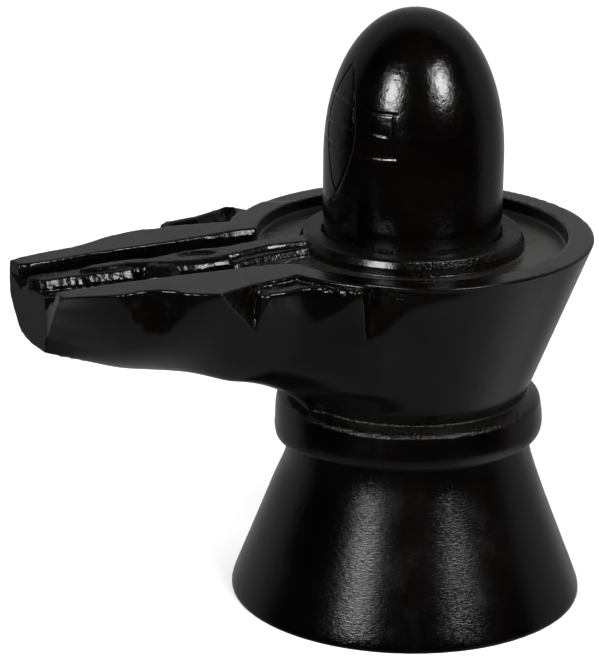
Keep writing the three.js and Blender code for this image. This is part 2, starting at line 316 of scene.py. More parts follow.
def hull(x, y, z):
    """The spout before carving: wide on top, rounding in to an underside that rises to the tip."""
    low, high = table(x, KEEL), arm_top(x)
    bend_y, bend_z = table(x, BEND), table(x, BEND, 2)
    out, half = np.abs(y), np.where(y > 0, table(x, HULL), table(x, HULL, 2))

    # By the root: a level underside, a chamfer up to the bend and a flank above it.
    chamfer = (bend_z - CHAMFER_RISE * (bend_y - out) - z) * 0.8
    under = smooth_max(low - z, chamfer, 3.0)
    flank = (out - bend_y - (half - bend_y) * (z - bend_z) / (high - bend_z)) * 0.92
    faceted = smooth_max(under, flank, 4 + 22 * smooth_step(x, 70, 108))

    # Farther out: a round section, which turns into the tip's own.
    share = np.clip((z - low) / (high - low), 0, 1)
    full = np.sin(0.5 * np.pi * share**HULL_FULLNESS)
    shape = np.where(y > 0, table(share, TIP, 2), table(share, TIP))
    section = full + smooth_step(x, 120, 149) * (shape - full)
    side = (out - section * half) * 0.8
    side = np.where(z < low, np.hypot(np.maximum(side, 0), z - low), side)

    side = faceted + smooth_step(x, 80, 118) * (side - faceted)
    return np.maximum(smooth_max(side, x - table(y, END), 1.2), SPOUT_ROOT_X - x)


def rough_block(x, y, z, r, azimuth):
    """The turned body and the spout joined, before anything is carved."""
    taller = smooth_step(azimuth, 45, -20) * smooth_step(azimuth, -130, -60)
    rise = COLLAR_RISE * smooth_step(z, 72, 78) * smooth_step(z, 92, 84)
    fall = COLLAR_FALL * smooth_step(z, 76, 68) * smooth_step(z, 40, 58)
    body = turned_body(r, z - taller * (rise - fall))
    out = (x > SPOUT_ROOT_X) & (z > SPOUT_ROOT_Z)
    x, y, z = x[out], y[out], z[out]
    wider = (1.0 + 12.0 * smooth_step(z, 140, 116)) * smooth_step(z, 84, 98) * smooth_step(x, 10, 44)
    body[out] = smooth_min(body[out], hull(x, y, z), 2.0 + wider)
    return body


def outline(x, y, z):
    """The rim's and the spout's edge in plan, which leans out a little on the way down."""
    azimuth = azimuth_of(x, y)
    dent = RIM_DENT * smooth_step(azimuth, 76, 53) * (azimuth > 51) * (z > 100)
    rim = np.hypot(x, y) - RIM_RADIUS + dent
    facet = np.where(between(azimuth, 45.5, 51), FACET_SLANT * np.clip(RIM_Z - z, 0, 2.2) - 1, 0)
    tooled = 0.3 * noise(x / 2.4, y / 2.4, z / 4.0, 3)
    spout = polygon_distance(x, y, TOP_OUTLINE) - facet + tooled
    return np.minimum(rim, spout) - EDGE_LEAN * (RIM_Z - z)


def near_leaf(x, y, z):
    """The ledge and the leaf beside the near arm, below the level top."""
    plan = polygon_distance(x, y, NEAR_LEAF) - EDGE_LEAN * (LEDGE_Z - z)
    rough = smooth_step(x, 60, 55) + 1.6 * smooth_step(x, 75, 77)
    tooled = 0.5 * noise(x / 1.6, y / 1.6, z / 1.6, 5) * rough
    top = z - LEDGE_Z - 0.4 * smooth_step(x, 58, 46)
    return smooth_max(plan + 0.3 * tooled, top + tooled, 1.6)


def rim_cut(x, y, z, r):
    """The gouge under the rim on the +Y side: below zero where stone is cut away."""
    azimuth = azimuth_of(x, y)
    lean = 0.2 - 0.2 * smooth_step(azimuth, 52, 57)
    wall = table(azimuth, CUT, 2) - r - lean * np.clip(z - table(azimuth, CUT), 0, 12)
    start = np.radians(CUT_START - azimuth) * r
    tooled = 0.5 * noise(x / 1.5, y / 1.5, z / 1.8, 7)
    tooled = tooled * smooth_step(azimuth, 66, 60) * smooth_step(z, 135, 139)
    return np.maximum(smooth_max(wall + tooled, z - CUT_ROOF_Z - tooled, 1.5), start)


def slot(x, y, z):
    """The slot inside the far leaf, which deepens towards its middle."""
    tooled = 0.5 * noise(x / 2, y / 2, z / 2, 17) * smooth_step(x, 66, 60)
    return polygon_distance(x, y, FAR_SLOT) + 0.85 * (RIM_Z - z) + tooled


def channel(x, y, z):
    """Inside of the channel between the arms: below zero where stone is cut away."""
    depth = arm_top(x) - z
    near = y - table(x, CHANNEL_NEAR) + smooth_step(x, 140, 146) * np.clip(depth, 0, 8)
    far = -table(x, CHANNEL_FAR) - y + FACET_SLANT * np.clip(depth, -1, table(x, FAR_SLANT))
    tooled = 0.16 * noise(x / 1.5, y / 3, z / 5, 11) * smooth_step(depth, 0.1, 0.8)
    wall = np.maximum(near, far) * 0.97 + tooled
    floor = CHANNEL_FLOOR_Z + (RING_FLOOR_Z - CHANNEL_FLOOR_Z) * smooth_step(x, 57, 49)
    return np.maximum(smooth_max(wall, floor - z, 1.5), CHANNEL_START_X - x)


def outlet(x, y, z):
    """The gutter that drains the channel at the spout's end, and a small notch beyond the tongue."""
    bottom = OUTLET_FLOOR_Z + 0.76 * np.maximum(y - 1.6, 0)
    gutter = np.maximum(66.3 - 0.45 * x - 0.89 * y, 0.8 * (bottom - z))
    notch = np.abs(y - NOTCH_Y) * 0.6 - 0.75 * (z - NOTCH_Z) + 0.4 * (NOTCH_X - x)
    return np.maximum(np.minimum(gutter, notch), z - OUTLET_TOP_Z)


class Ridge:
    """A raised body along X, in rows of x, far edge, near edge and the height of its top.

    Its near wall is rows of depth below the top and how far out it has come by then.
    """

    def __init__(self, rows, wall, edge=0.5):
        self.rows = np.array(rows, float)
        self.wall = np.array(wall, float)
        self.edge = edge

    def field(self, x, y, z):
        far, near, top = (table(x, self.rows, column) for column in (1, 2, 3))
        lean = table(top - z, self.wall)
        side = np.maximum((y - near - lean) * 0.9, far - y - 0.25 * (top - z))
        ends = np.maximum(self.rows[0, 0] - x, x - self.rows[-1, 0]) - 0.2 * (top - z)
        return smooth_max(smooth_max(side, ends, 1.6), z - top, self.edge)


STEEP = [(0, 0), (2.2, 1.03), (3.0, 1.15), (20, 1.8)]
RIDGES = [
    Ridge(  # the broad back of the first serpent
        [
            (34, -10.3, -2, 144), (43, -10.4, -2.8, 144), (50, -11.3, -4.2, 143.8),
            (57, -11.8, -4.5, 143.6), (64, -10.8, -3.0, 143.4), (70, -10.4, -1.7, 143.1),
            (76.5, -10.6, -1.2, 142.7),
        ],
        STEEP,
    ),
    Ridge(  # its near coil
        [
            (34, -9, -0.8, 142.4), (40, -9, -0.5, 142.3), (46, -9, -0.4, 142.2),
            (53, -9, 0.8, 142.1), (61, -9, 1.9, 142), (69, -8, 3.4, 141.8), (74, -4, 4.6, 141.2),
        ],
        STEEP, 0.9,
    ),
    Ridge(  # the second serpent's back
        [
            (74, -10.8, -1.2, 142.7), (80, -12.3, -1.0, 142.6), (88, -12.2, -0.9, 142.4),
            (97, -10, -2.7, 142.3), (103, -9.6, -5.5, 142.1), (112, -11, -7.6, 142),
        ],
        [(0, 0), (1.5, 1.7), (1.8, 1.8), (3.0, 2.4), (20, 3)],
    ),
    Ridge(  # the lump at its end
        [(94.5, -6, -1.6, 141.6), (98, -6, -1.2, 141.7), (103, -7, -2.2, 141.6), (105.5, -8, -4, 141.2)],
        [(0, 0), (3.5, 4.6), (20, 5.4)], 1.2,
    ),
    Ridge(  # the third serpent's back
        [
            (104, -10.5, -7.6, 142.1), (109, -11.4, -7.9, 142), (116, -11.3, -7.2, 141.9),
            (124, -10.6, -7, 141.8), (129.5, -9.4, -8, 141.2),
        ],
        [(0, 0), (2.0, 1.5), (20, 2)],
    ),
    Ridge(  # its tongue
        [
            (110.5, -12, -3.6, 140.8), (114, -12.4, -3.6, 140.7), (121, -13.4, -4.2, 140.4),
            (132, -13.2, -5.5, 140.0), (139.5, -14.0, -6.2, 139.7), (143.5, -14.0, -6.2, 139.5),
            (145.6, -13.9, -7.0, 139.5), (147.2, -13.6, -9.0, 139.5), (148.2, -13.2, -11.5, 139.5),
        ],
        [(0, 0), (2.9, 1.36), (20, 2.2)], 0.7,
    ),
]


def serpents(x, y, z):
    """The three serpents on the channel's floor, with a pointed hollow in the second one's back."""
    block = RIDGES[0].field(x, y, z)
    for ridge in RIDGES[1:]:
        block = smooth_min(block, ridge.field(x, y, z), 0.3)
    flank = smooth_step(y, -6.5, -4.5) * smooth_step(x, 79, 83)
    flank = flank + smooth_step(x, 50, 44) * smooth_step(y, -2, 0)
    block = block + (0.06 + 0.12 * flank) * noise(x / 1.4, y / 1.4, z / 1.4, 13)
    along, across = x - HOLLOW_X, y - HOLLOW_Y + 0.12 * (x - 84)
    hollow = np.hypot(along / 7.5, across / 3.3) - 1
    block = smooth_max(block, -smooth_max(hollow * 2.5, HOLLOW_FLOOR_Z - z, 0.8), 0.4)
    return smooth_max(block, x - table(y, END), 0.6)


def disc(r, azimuth, z):
    """The raised disc round the lingam, with a wall that slants out to its foot."""
    worn = smooth_step(azimuth, 57, 68) * smooth_step(azimuth, 120, 105)
    slant = (DISC_LEAN - DISC_UPRIGHT * worn) * np.clip(DISC_Z - z, 0, 3.2)
    field = smooth_max((r - DISC_RADIUS - slant) * 0.93, z - DISC_Z, 1.0)
    return np.maximum(field, RING_FLOOR_Z - 6 - z)


def socket(x, y, z, r):
    """The lingam's socket, with a broken lip: below zero where stone is cut away."""
    broken = np.clip(z - DISC_Z + 1.6, 0, 3) * (0.2 + 0.3 * noise(x / 2.2, y / 2.2, 0 * z, 23))
    return np.maximum(r - LINGAM_FOOT_RADIUS - SOCKET_GAP - broken, SOCKET_Z - z)


def carved_edge(body, x, y, z, r, gouged):
    """The upper part of the block on the spout's side, carved down to the level top's outline."""
    top = smooth_max(body, outline(x, y, z), 0.6)
    soft = smooth_step(x, 57, 64) * smooth_step(x, 78, 74)
    leaf = smooth_max(body, near_leaf(x, y, z), 0.5 + 2.5 * soft)
    top = smooth_max(np.minimum(top, leaf), z - arm_top(x), 1.0)
    top = smooth_max(top, -slot(x, y, z), 0.6)
    if gouged:
        top = smooth_max(top, -rim_cut(x, y, z, r), 0.5)
    return top


def base_field(x, y, z, gouged=True):
    """Below zero inside the base, with or without the gouge under its rim."""
    r, azimuth = np.hypot(x, y), azimuth_of(x, y)
    body = rough_block(x, y, z, r, azimuth)
    part = (x > 0) & (z > EDGE_BOTTOM_Z) & (r > 50)
    body[part] = carved_edge(body[part], x[part], y[part], z[part], r[part], gouged)
    part = (x > CHANNEL_START_X - 4) & (z > CHANNEL_BOTTOM_Z)
    body[part] = smooth_max(body[part], -channel(x[part], y[part], z[part]), 0.6)
    part = (x > 138) & (z > CHANNEL_BOTTOM_Z)
    body[part] = smooth_max(body[part], -outlet(x[part], y[part], z[part]), 0.3)
    ring = smooth_max(r - RIM_INNER_RADIUS, RING_FLOOR_Z - z, 1.6)
    body = smooth_max(body, -ring, 0.7)
    part = between(x, 32, 152) & (np.abs(y) < 26) & (z > 133)
    body[part] = smooth_min(body[part], serpents(x[part], y[part], z[part]), 0.4)
    body = smooth_min(body, disc(r, azimuth, z), 0.6)
    return smooth_max(body, -socket(x, y, z, r), 0.5)


def reach(azimuth, z):
    """How far out the stone reaches at an azimuth and a height, before the gouge is cut."""
    r = np.arange(COLLAR_RADIUS, RIM_RADIUS + 1, 0.01)
    turn = math.radians(azimuth)
    inside = base_field(r * math.cos(turn), r * math.sin(turn), np.full(len(r), z), gouged=False) < 0
    return r[inside].max()


# The gouge's lower edge with the stone's reach there as a third column. At the
# last row the gouge has run out, so it stands clear of the rim.
CUT_REACH = [reach(max(azimuth, CUT_START), z) for azimuth, z in CUT_EDGE[:-1]]
CUT = np.column_stack([CUT_EDGE, CUT_REACH + [RIM_RADIUS + 0.5]])


# ------------------------------------------------------------- field to mesh

FLAT_SPREAD = 0.9988  # length of the mean of unit normals that differ by a few degrees
FLATTENING = 0.06  # how much a vertex is held to the middle of its crossings
OVERSHOOT = 0.1  # how far past its cell a vertex may stand, as a share of the cell
BATCH = 400000  # points worked out at a time


def gradient(field, p, step=0.02):
    """Unit gradient of a field at points p, by four-point differences."""
    corners = np.array([(1, -1, -1), (-1, -1, 1), (-1, 1, -1), (1, 1, 1)], float)
    g = sum(c * field(*(p + step * c).T)[:, None] for c in corners)
    return g / np.maximum(np.linalg.norm(g, axis=1, keepdims=True), 1e-12)


def surface_points(field, axes, coarse=4, slack=1.5, slope=2.2):
    """Indices of the grid's points near the surface, found on a coarser grid.

    The field is taken to change by no more than slope for each millimetre.
    """
    mids = [a[np.minimum(np.arange(0, len(a) - 1, coarse) + coarse // 2, len(a) - 1)] for a in axes]
    stops = [a[np.minimum(np.arange(0, len(a) + coarse - 1, coarse), len(a) - 1)] for a in axes]
    spans = [np.diff(s)[: len(m)] for s, m in zip(stops, mids)]
    middle = np.meshgrid(*mids, indexing="ij")
    value = field(*(m.ravel() for m in middle)).reshape(middle[0].shape)
    sx, sy, sz = np.meshgrid(*spans, indexing="ij")
    active = np.zeros([len(a) for a in axes], bool)
    near = np.abs(value) < slope * 0.5 * np.sqrt(sx**2 + sy**2 + sz**2) + slack
    for i, j, k in np.argwhere(near) * coarse:
        active[i : i + coarse + 1, j : j + coarse + 1, k : k + coarse + 1] = True
    return np.argwhere(active)


def sampled(field, axes):
    """The field on the grid near its surface, and nan elsewhere."""
    points = surface_points(field, axes)
    values = np.full([len(a) for a in axes], np.nan, np.float32)
    for part in np.array_split(points, max(1, len(points) // BATCH)):
        values[tuple(part.T)] = field(*(a[part[:, k]] for k, a in enumerate(axes)))
    return values


def crossed_edges(field, axes, values, axis):
    """The grid's edges along one axis that cross the surface.

    Returns each one's lower grid point, the place and normal where it crosses, and
    whether its lower end is inside.
    """
    a = values.take(range(values.shape[axis] - 1), axis)
    b = values.take(range(1, values.shape[axis]), axis)
    edge = np.argwhere((a < 0) != (b < 0))
    va, vb = a[tuple(edge.T)], b[tuple(edge.T)]
    good = np.isfinite(va) & np.isfinite(vb)
    edge, va, vb = edge[good], va[good].astype(float), vb[good].astype(float)
    inside = va < 0
    low = np.stack([axes[k][edge[:, k]] for k in range(3)], 1)
    high = low.copy()
    high[:, axis] = axes[axis][edge[:, axis] + 1]
    for _ in range(4):
        t = np.clip(va / (va - vb), 0.05, 0.95)[:, None]
        mid = low + t * (high - low)
        vm = field(*mid.T)
        left = (vm < 0) == (va < 0)
        low = np.where(left[:, None], mid, low)
        high = np.where(left[:, None], high, mid)
        va, vb = np.where(left, vm, va), np.where(left, vb, vm)
    t = np.clip(va / np.where(va == vb, 1, va - vb), 0, 1)[:, None]
    point = low + t * (high - low)
    return edge, point, gradient(field, point), inside


def cells_round(edge, axis):
    """The four cells round each of the grid's edges along an axis, in turn round it."""
    u, v = (axis + 1) % 3, (axis + 2) % 3
    for du, dv in ((0, 0), (-1, 0), (-1, -1), (0, -1)):
        cell = edge.copy()
        cell[:, u] += du
        cell[:, v] += dv
        yield cell


def flat_blocks(cells, normals, shape):
    """Where blocks of 2 x 2 x 2 cells, and the blocks round them, hold a surface with hardly a bend."""
    size = [n // 2 + 2 for n in shape]
    keys, owner = np.unique(np.ravel_multi_index((cells // 2).T, size), return_inverse=True)
    mean = np.stack([np.bincount(owner, normals[:, k]) for k in range(3)], 1)
    mean = mean / np.bincount(owner)[:, None]
    bent = np.zeros(size, bool)
    bent.ravel()[keys] = np.linalg.norm(mean, axis=1) < FLAT_SPREAD
    for axis in range(3):
        bent = bent | np.roll(bent, 1, axis) | np.roll(bent, -1, axis)
    return ~bent


def fitted(points, normals, owner):
    """The place of each vertex, which fits the planes of the crossings that it owns."""
    count = np.bincount(owner)
    mass = np.stack([np.bincount(owner, points[:, k]) / count for k in range(3)], 1)
    along = (normals * (points - mass[owner])).sum(1)
    matrix = np.zeros((len(count), 3, 3))
    vector = np.zeros((len(count), 3))
    for i in range(3):
        vector[:, i] = np.bincount(owner, normals[:, i] * along)
        for j in range(3):
            matrix[:, i, j] = np.bincount(owner, normals[:, i] * normals[:, j])
    matrix += np.eye(3) * FLATTENING
    return mass + np.linalg.solve(matrix, vector[:, :, None])[:, :, 0]


def faces_of(rings):
    """Quads, and triangles where two corners of a ring are the same vertex."""
    new = rings != np.roll(rings, 1, 1)
    folded = (rings[:, 0] == rings[:, 2]) | (rings[:, 1] == rings[:, 3])
    quads = rings[new.all(1) & ~folded]
    three = new.sum(1) == 3
    return quads.tolist() + rings[three][new[three]].reshape(-1, 3).tolist()


def contour(field, axes):
    """The zero surface of a field on a rectilinear grid, by dual contouring.

    Where it is nearly flat, one vertex stands for a block of cells. Returns vertices,
    faces turned out, and the field's unit gradient at each vertex.
    """
    values = sampled(field, axes)
    crossings = [crossed_edges(field, axes, values, axis) for axis in range(3)]

    # Each crossed edge gives its plane to the four cells round it.
    cells, points, normals = [], [], []
    for axis, (edge, point, normal, _) in enumerate(crossings):
        for cell in cells_round(edge, axis):
            cells.append(cell)
            points.append(point)
            normals.append(normal)
    cells, points, normals = np.vstack(cells), np.vstack(points), np.vstack(normals)
    flat = flat_blocks(cells, normals, values.shape)

    def number(cell):
        """One number for each cell, or for each flat block that it is in."""
        block = cell // 2
        first = np.where(flat[tuple(block.T)][:, None], block * 2, cell)
        return np.ravel_multi_index(first.T, values.shape)

    keys, owner = np.unique(number(cells), return_inverse=True)
    vertices = fitted(points, normals, owner)
    first = np.stack(np.unravel_index(keys, values.shape))
    span = np.where(flat[tuple(first // 2)], 2, 1)
    low = np.stack([a[c] for a, c in zip(axes, first)], 1)
    high = np.stack([a[np.minimum(c + span, len(a) - 1)] for a, c in zip(axes, first)], 1)
    slack = OVERSHOOT * (high - low)
    vertices = np.clip(vertices, low - slack, high + slack)

    rings = []
    for axis, (edge, _, _, inside) in enumerate(crossings):
        ring = np.stack([np.searchsorted(keys, number(cell)) for cell in cells_round(edge, axis)], 1)
        ring[~inside] = ring[~inside][:, ::-1]
        rings.append(ring)
    return vertices, faces_of(np.vstack(rings)), gradient(field, vertices)


def graded(stops):
    """Grid lines between stops, each (place, spacing from here on)."""
    lines = [stops[0][0]]
    for (start, step), (stop, _) in zip(stops[:-1], stops[1:]):
        n = max(1, round((stop - start) / step))
        lines.extend(np.linspace(start, stop, n + 1)[1:])
    return np.array(lines)


def mesh_object(name, vertices, faces, normals=None):
    mesh = bpy.data.meshes.new(name)
    mesh.from_pydata((vertices * MM).tolist(), [], faces)
    mesh.validate()
    mesh.shade_smooth()
    if normals is not None:
        mesh.normals_split_custom_set_from_vertices(normals.tolist())
    obj = bpy.data.objects.new(name, mesh)
    bpy.context.scene.collection.objects.link(obj)
    return obj


def add_chisel_marks(obj, strength):
    """Gives each vertex the strength of the chisel's marks, which the stone's material reads."""
    mark = obj.data.attributes.new("chisel", "FLOAT", "POINT")
    mark.data.foreach_set("value", strength.astype(np.float32))


# ------------------------------------------------------------- the base's mesh


def chiselled(p, normal):
    """How strongly the chisel's marks were left at points p, from 0 for sanded stone."""
    x, y, z = p.T
    r, azimuth, up = np.hypot(x, y), azimuth_of(x, y), normal[:, 2]
    steep, level = smooth_step(up, 0.93, 0.8), up > 0.9
    deep = arm_top(x) - z
    spout = (z > CHANNEL_BOTTOM_Z) & between(x, 24, 146) & (up > -0.5) & (deep > 0.4)
    inner = spout & (x > CHANNEL_START_X)
    edge = spout & (np.abs(outline(x, y, z)) < 0.8) & (y > 20)
    leaf = spout & (np.abs(near_leaf(x, y, z)) < 1.0)
    gouge = spout & (np.abs(rim_cut(x, y, z, r)) < 0.8)
    disc_wall = between(r, 38, 44) & between(z, 139, DISC_Z + 0.1)
    collar_top = between(r, 43, 51) & between(z, COLLAR_TOP_Z - 1.2, BASIN_BOTTOM_Z + 3)
    marks = (
        (edge, 0.1),
        (edge & between(x, 66, 82) & (deep < 6), 0.9),
        (edge & between(x, 52, 56), 0.6),
        (leaf & (x < 60) & (y > 30) & (deep < 4.2), 0.9),
        (leaf & between(x, 75.5, 80) & (y > 34) & (deep < 17), 1.0),
        (gouge, 0.12),
        (gouge & (azimuth < 65) & (z > 137), 1.0),
        (spout & (np.abs(slot(x, y, z)) < 0.8) & (x < 68), 0.8),
        (inner & between(y, -27, -14) & (x < 143), np.where(deep < 2.2, 0.9, 0.25) * steep),
        (inner & between(y, -14, 14), 0.6 * steep),
        (inner & between(y, 10, 27), 0.15 * steep),
        ((r < 36.5) & between(z, 138, DISC_Z - 0.15), 1.0),
        (disc_wall, (0.3 + 1.7 * smooth_step(azimuth, 58, 68)) * smooth_step(up, 0.98, 0.9)),
        (collar_top & between(azimuth, 15, 125), 2.5),
        (level & between(r, 42, 58) & (np.abs(z - RING_FLOOR_Z) < 1), 0.5),
        (level & (r < 41) & (z > DISC_Z - 1), 0.3),
    )
    return np.max([where * strength for where, strength in marks], axis=0)


def make_base():
    wide = 1.45
    fine = 0.7
    x_lines = [(-72, wide), (34, fine), (154, 0)]
    y_lines = [(-72, wide), (-58, fine * 1.3), (-24, fine), (20, fine * 1.2), (62, wide), (72, 0)]
    z_lines = [
        (-2, 0.8), (2, 1.8 * wide), (60, 0.5 * wide), (86, wide), (118, fine * 1.3),
        (132, fine * 0.8), (147, 0),
    ]
    vertices, faces, normals = contour(base_field, [graded(s) for s in (x_lines, y_lines, z_lines)])
    base = mesh_object("yoni_base_carved", vertices, faces, normals)
    add_chisel_marks(base, chiselled(vertices, normals))
    return base


# ------------------------------------------------------------- lingam

# The mark cut into the lingam, in azimuths and heights: an eye, and three lines
# across it that two upright ones close.
GROOVE_DEPTH = 0.38
GROOVE_HALF_WIDTH = 0.58
MARK_START, MARK_END = -42, 57
MARK_BOTTOM_Z, MARK_TOP_Z = 162, 212
EYE = [
    (1, 211.5), (-2.7, 207.3), (-9, 198.5), (-9.6, 191.8), (-6.2, 184.3), (-1.7, 176.2),
    (2.4, 168.9), (8.1, 164.4), (11.9, 167.6), (17.5, 173.7), (22, 181), (23.3, 187.9),
    (22.5, 190.8), (18.9, 198.8), (15.3, 204.3), (7.3, 210.4), (1, 211.5),
]
LINES = [
    [(-38, 199), (-9.9, 198.9), (9.3, 198.6), (18.9, 198.8), (30.3, 197.9), (37.8, 197.1), (53, 197.2)],
    [(-38, 189.2), (-8.3, 188.9), (9.3, 189.6), (22.5, 190.2), (32.5, 190.1), (47, 189.4)],
    [(-38, 182), (-9.2, 182.1), (9.5, 181), (21, 181.2), (42, 181.1), (54, 181.4)],
    [(51.4, 197.2), (52.1, 189), (53, 181.4)],
    [(-38, 199), (-38, 182)],
]


def lingam_radius(z):
    share = np.clip((z - LINGAM_SHOULDER_Z) / (LINGAM_TOP_Z - LINGAM_SHOULDER_Z), 0, 1)
    return LINGAM_RADIUS * (1 - share**DOME_POWER) ** (1 / DOME_POWER)


def engraved(azimuth, z, radius):
    """Depth of the engraved mark at each point."""
    azimuth = (azimuth + 180) % 360 - 180
    depth = np.zeros(len(z))
    near = between(azimuth, MARK_START, MARK_END + 1) & between(z, MARK_BOTTOM_Z - 2, MARK_TOP_Z + 4)
    a, h, r = azimuth[near], z[near], radius[near]
    slope = (lingam_radius(h + PROBE) - lingam_radius(h - PROBE)) / (2 * PROBE)
    stretch = np.sqrt(1 + slope**2)
    best = np.full(len(a), 1e9)
    for path in [EYE] + LINES:
        for (a0, z0), (a1, z1) in zip(path[:-1], path[1:]):
            u, v = np.radians(a - a0) * r, (h - z0) * stretch
            du, dv = np.radians(a1 - a0) * r, (z1 - z0) * stretch
            t = np.clip((u * du + v * dv) / (du * du + dv * dv), 0, 1)
            best = np.minimum(best, np.hypot(u - t * du, v - t * dv))
    depth[near] = GROOVE_DEPTH * np.clip(1 - (best / GROOVE_HALF_WIDTH) ** 2, 0, 1) ** 1.5
    return depth


def lingam_profile(step):
    """Rows of height and radius from the socket up to just below the dome's top."""
    bottom = SOCKET_Z + SOCKET_GAP
    rows = [(bottom, LINGAM_FOOT_RADIUS - 0.5), (SOCKET_Z + 1, LINGAM_FOOT_RADIUS)]
    foot = [np.linspace(DISC_Z - 0.4, DISC_Z + 2.8, 9), np.linspace(DISC_Z + 3.6, DISC_Z + 8, 4)]
    for z in np.hstack(foot):
        swell = smooth_step(z, DISC_Z + 1, DISC_Z + 8)
        rows.append((z, LINGAM_FOOT_RADIUS + (LINGAM_RADIUS - LINGAM_FOOT_RADIUS) * swell))
    upright = graded([(DISC_Z + 9, 1.5), (MARK_BOTTOM_Z, step), (MARK_TOP_Z, step * 2), (225, 0)])
    rows.extend((z, lingam_radius(z)) for z in upright)
    dome = LINGAM_TOP_Z - LINGAM_SHOULDER_Z
    last = math.asin(((upright[-1] - LINGAM_SHOULDER_Z) / dome) ** (DOME_POWER / 2))
    for a in np.linspace(last, math.pi / 2, 26)[1:-1]:
        z = LINGAM_SHOULDER_Z + dome * math.sin(a) ** (2 / DOME_POWER)
        rows.append((z, lingam_radius(z)))
    return np.array(rows)


def make_lingam():
    step = 0.4
    rows = lingam_profile(step)
    turn = math.degrees(step / LINGAM_RADIUS)
    angle = np.radians(graded([(MARK_START, turn), (MARK_END, 2.4), (MARK_START + 360, 0)])[:-1])
    n = len(angle)
    z, r = np.repeat(rows[:, 0], n), np.repeat(rows[:, 1], n)
    a = np.tile(angle, len(rows))
    r = r - engraved(np.degrees(a), z, r)

    # Crumbs of powder stick out where the lingam leaves its socket.
    rough = smooth_step(z, DISC_Z + 1.5, DISC_Z + 0.5) * smooth_step(z, DISC_Z - 1, DISC_Z)
    r = r + rough * 0.4 * np.maximum(noise(a * 34, z * 1.3, 0 * z, 29), 0)

    top = len(r)
    vertices = np.stack([r * np.cos(a), r * np.sin(a), z], 1)
    vertices = np.vstack([vertices, (0, 0, LINGAM_TOP_Z), (0, 0, SOCKET_Z + SOCKET_GAP)])
    low = np.arange(top - n).reshape(-1, n)
    after = np.roll(low, -1, 1)
    quads = np.stack([low, after, after + n, low + n], 2).reshape(-1, 4)
    first, last = low[0], low[-1] + n
    cap = np.stack([last, np.roll(last, -1), np.full(n, top)], 1)
    underside = np.stack([np.roll(first, -1), first, np.full(n, top + 1)], 1)
    lingam = mesh_object("lingam_stone", vertices, quads.tolist() + cap.tolist() + underside.tolist())
    add_chisel_marks(lingam, np.hstack([rough, 0, 0]))
    return lingam


# ------------------------------------------------------------- materials

# Colours of the stone: the darkest and the palest of its mottling, the dust in the
# chisel's marks, and a paler grey laid on the ring channel's floor.
STONE_DARK = (0.0008, 0.0006, 0.0005, 1)
STONE_PALE = (0.0028, 0.0020, 0.0016, 1)
STONE_DUST = (0.007, 0.006, 0.0046, 1)
STONE_RING_FLOOR_GREY = (0.0245, 0.0222, 0.0205, 1)
STONE_IOR = 1.5
FLOOR_COLOUR = (0.97, 0.97, 0.97, 1)


class Graph:
    """A node tree with short ways to add nodes and join them."""

    def __init__(self, tree):
        self.tree = tree

    def join(self, value, socket):
        """Gives a socket a value, which is a plain one or another node's output."""
        if isinstance(value, bpy.types.NodeSocket):
            self.tree.links.new(value, socket)
        else:
            socket.default_value = value

    def node(self, kind, inputs=(), **settings):
        made = self.tree.nodes.new(kind)
        for key, value in settings.items():
            setattr(made, key, value)
        for key, value in dict(inputs).items():
            self.join(value, made.inputs[key])
        return made

    def maths(self, operation, a, b=0.0, c=0.0):
        return self.node("ShaderNodeMath", {0: a, 1: b, 2: c}, operation=operation).outputs[0]

    def plus(self, first, *others):
        for other in others:
            first = self.maths("ADD", first, other)
        return first

    def times(self, first, *others):
        for other in others:
            first = self.maths("MULTIPLY", first, other)
        return first

    def ramp(self, value, low, high, out_low=0.0, out_high=1.0):
        inputs = {"Value": value, "From Min": low, "From Max": high, "To Min": out_low, "To Max": out_high}
        return self.node("ShaderNodeMapRange", inputs, interpolation_type="SMOOTHSTEP").outputs["Result"]

    def noise(self, vector, scale, detail=3.0, roughness=0.5):
        inputs = {"Vector": vector, "Scale": scale, "Detail": detail, "Roughness": roughness}
        return self.node("ShaderNodeTexNoise", inputs).outputs["Fac"]

    def blend(self, factor, a, b):
        """A value between a and b."""
        return self.node("ShaderNodeMix", {0: factor, 2: a, 3: b}, data_type="FLOAT").outputs[0]

    def mix(self, factor, a, b):
        """A colour between a and b."""
        return self.node("ShaderNodeMix", {0: factor, 6: a, 7: b}, data_type="RGBA").outputs[2]

    def bump(self, height, distance, strength=1.0, normal=None):
        inputs = {"Height": height, "Distance": distance, "Strength": strength}
        if normal is not None:
            inputs["Normal"] = normal
        return self.node("ShaderNodeBump", inputs).outputs["Normal"]


